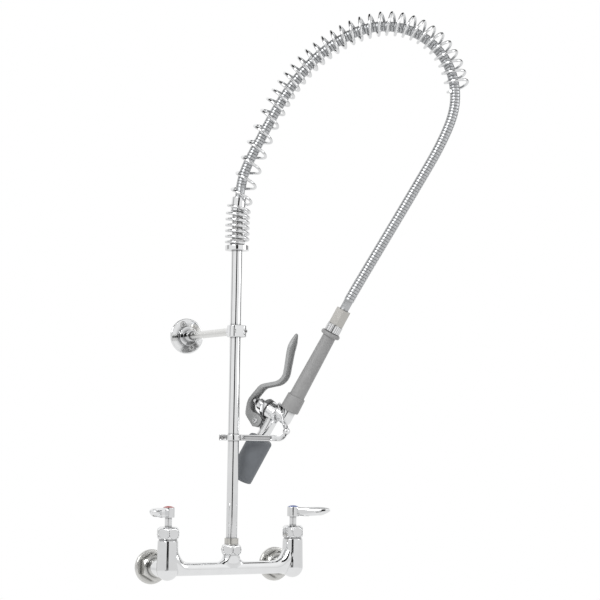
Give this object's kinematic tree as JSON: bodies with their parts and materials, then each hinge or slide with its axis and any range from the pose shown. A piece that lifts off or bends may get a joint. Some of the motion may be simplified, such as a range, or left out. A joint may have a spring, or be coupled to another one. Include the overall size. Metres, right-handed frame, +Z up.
{
  "type": "wall-mounted pre-rinse faucet",
  "caption": "Wall-mounted pre-rinse faucet: hot and cold lever valves, riser with wall bracket, overhead spring and hose, squeeze-lever spray valve on a finger hook.",
  "frame": {"origin": "on the wall plane at the backs of the inlet flanges, midway between the two inlets", "axes": "+X along the cross bar to the cold side, +Y into the wall, +Z up"},
  "size_m": [0.4323, 0.3987, 0.8523],
  "materials": {
    "chrome": "polished chrome plate",
    "satin_nickel": "satin nickel plate",
    "spring_wire": "bright drawn stainless wire",
    "hose_steel": "strip-wound stainless, bright",
    "brass": "machined brass",
    "ceramic": "lapped ceramic",
    "seal_rubber": "black moulded rubber",
    "fibre": "flat fibre washer",
    "index_red": "glossy red",
    "index_blue": "glossy blue",
    "screw_steel": "plain stainless",
    "lever_grey": "grey coated steel channel",
    "grip_grey": "grey moulded grip",
    "bumper_grey": "dark grey moulded rubber",
    "liner": "braided tube, plain",
    "clamp_chrome": "plated block"
  },
  "bodies": {
    "root": {"hot_inlet_flange": "satin_nickel", "hot_seat_seal": "seal_rubber", "hot_fixed_disc": "ceramic", "hot_cartridge": "brass", "hot_bonnet": "chrome", "cold_inlet_flange": "satin_nickel", "cold_seat_seal": "seal_rubber", "cold_fixed_disc": "ceramic", "cold_cartridge": "brass", "cold_bonnet": "chrome", "faucet_body": "chrome", "inlet_washers": "fibre", "riser_nut": "chrome", "riser_washer": "seal_rubber", "riser_tube": "chrome", "riser_sleeve": "satin_nickel", "wall_flange": "chrome", "wall_screws": "screw_steel", "bracket_rod": "satin_nickel", "bracket_clamp": "clamp_chrome", "bracket_clamp_screw": "screw_steel", "finger_hook": "clamp_chrome", "hook_clamp_screws": "screw_steel", "spring_collar": "chrome", "overhead_spring": "spring_wire", "hose_adapter": "brass", "hose_ferrule": "chrome", "hose": "hose_steel", "hose_liner": "liner", "hose_end_hex": "satin_nickel", "hose_end_nut": "satin_nickel", "hose_washer": "seal_rubber", "handle_tube": "brass", "grip_sleeve": "grip_grey", "lower_sleeve": "grip_grey", "valve_body": "chrome", "bonnet_gasket": "seal_rubber", "valve_bonnet": "chrome", "stem_packing": "seal_rubber", "stem_spring": "spring_wire", "seat_ring": "brass", "lever_pivot_screw": "brass", "hold_down_ring": "chrome", "spray_face": "screw_steel", "spray_face_screw": "screw_steel", "bumper": "bumper_grey"},
    "hot_valve": {"hot_spindle": "chrome", "hot_moving_disc": "ceramic", "hot_handle": "chrome", "hot_handle_screw": "screw_steel", "hot_index_button": "index_red"},
    "cold_valve": {"cold_spindle": "chrome", "cold_moving_disc": "ceramic", "cold_handle": "chrome", "cold_handle_screw": "screw_steel", "cold_index_button": "index_blue"},
    "lever": {"squeeze_lever": "lever_grey"},
    "stem": {"valve_stem": "chrome", "seat_washer": "seal_rubber"}
  },
  "joints": [
    {"name": "hot_turn", "type": "hinge", "parent": "root", "child": "hot_valve", "pos_m": [-0.1016, -0.06, 0.08], "axis": [0, 0, 1], "range_deg": [0, 90]},
    {"name": "cold_turn", "type": "hinge", "parent": "root", "child": "cold_valve", "pos_m": [0.1016, -0.06, 0.08], "axis": [0, 0, -1], "range_deg": [0, 90]},
    {"name": "lever_squeeze", "type": "hinge", "parent": "root", "child": "lever", "pos_m": [0.04768, -0.04553, 0.21588], "axis": [0.8323, 0.5478, -0.0847], "range_deg": [0, 10], "stiffness_Nm_per_rad": 4, "springref_deg": -11.46},
    {"name": "stem_push", "type": "slide", "parent": "root", "child": "stem", "axis": [0.4475, -0.7543, -0.4804], "range_m": [0, 0.0042]}
  ],
  "couplings": [
    {"joint": "stem_push", "follows": "lever_squeeze", "m_per_rad": 0.0239}
  ]
}
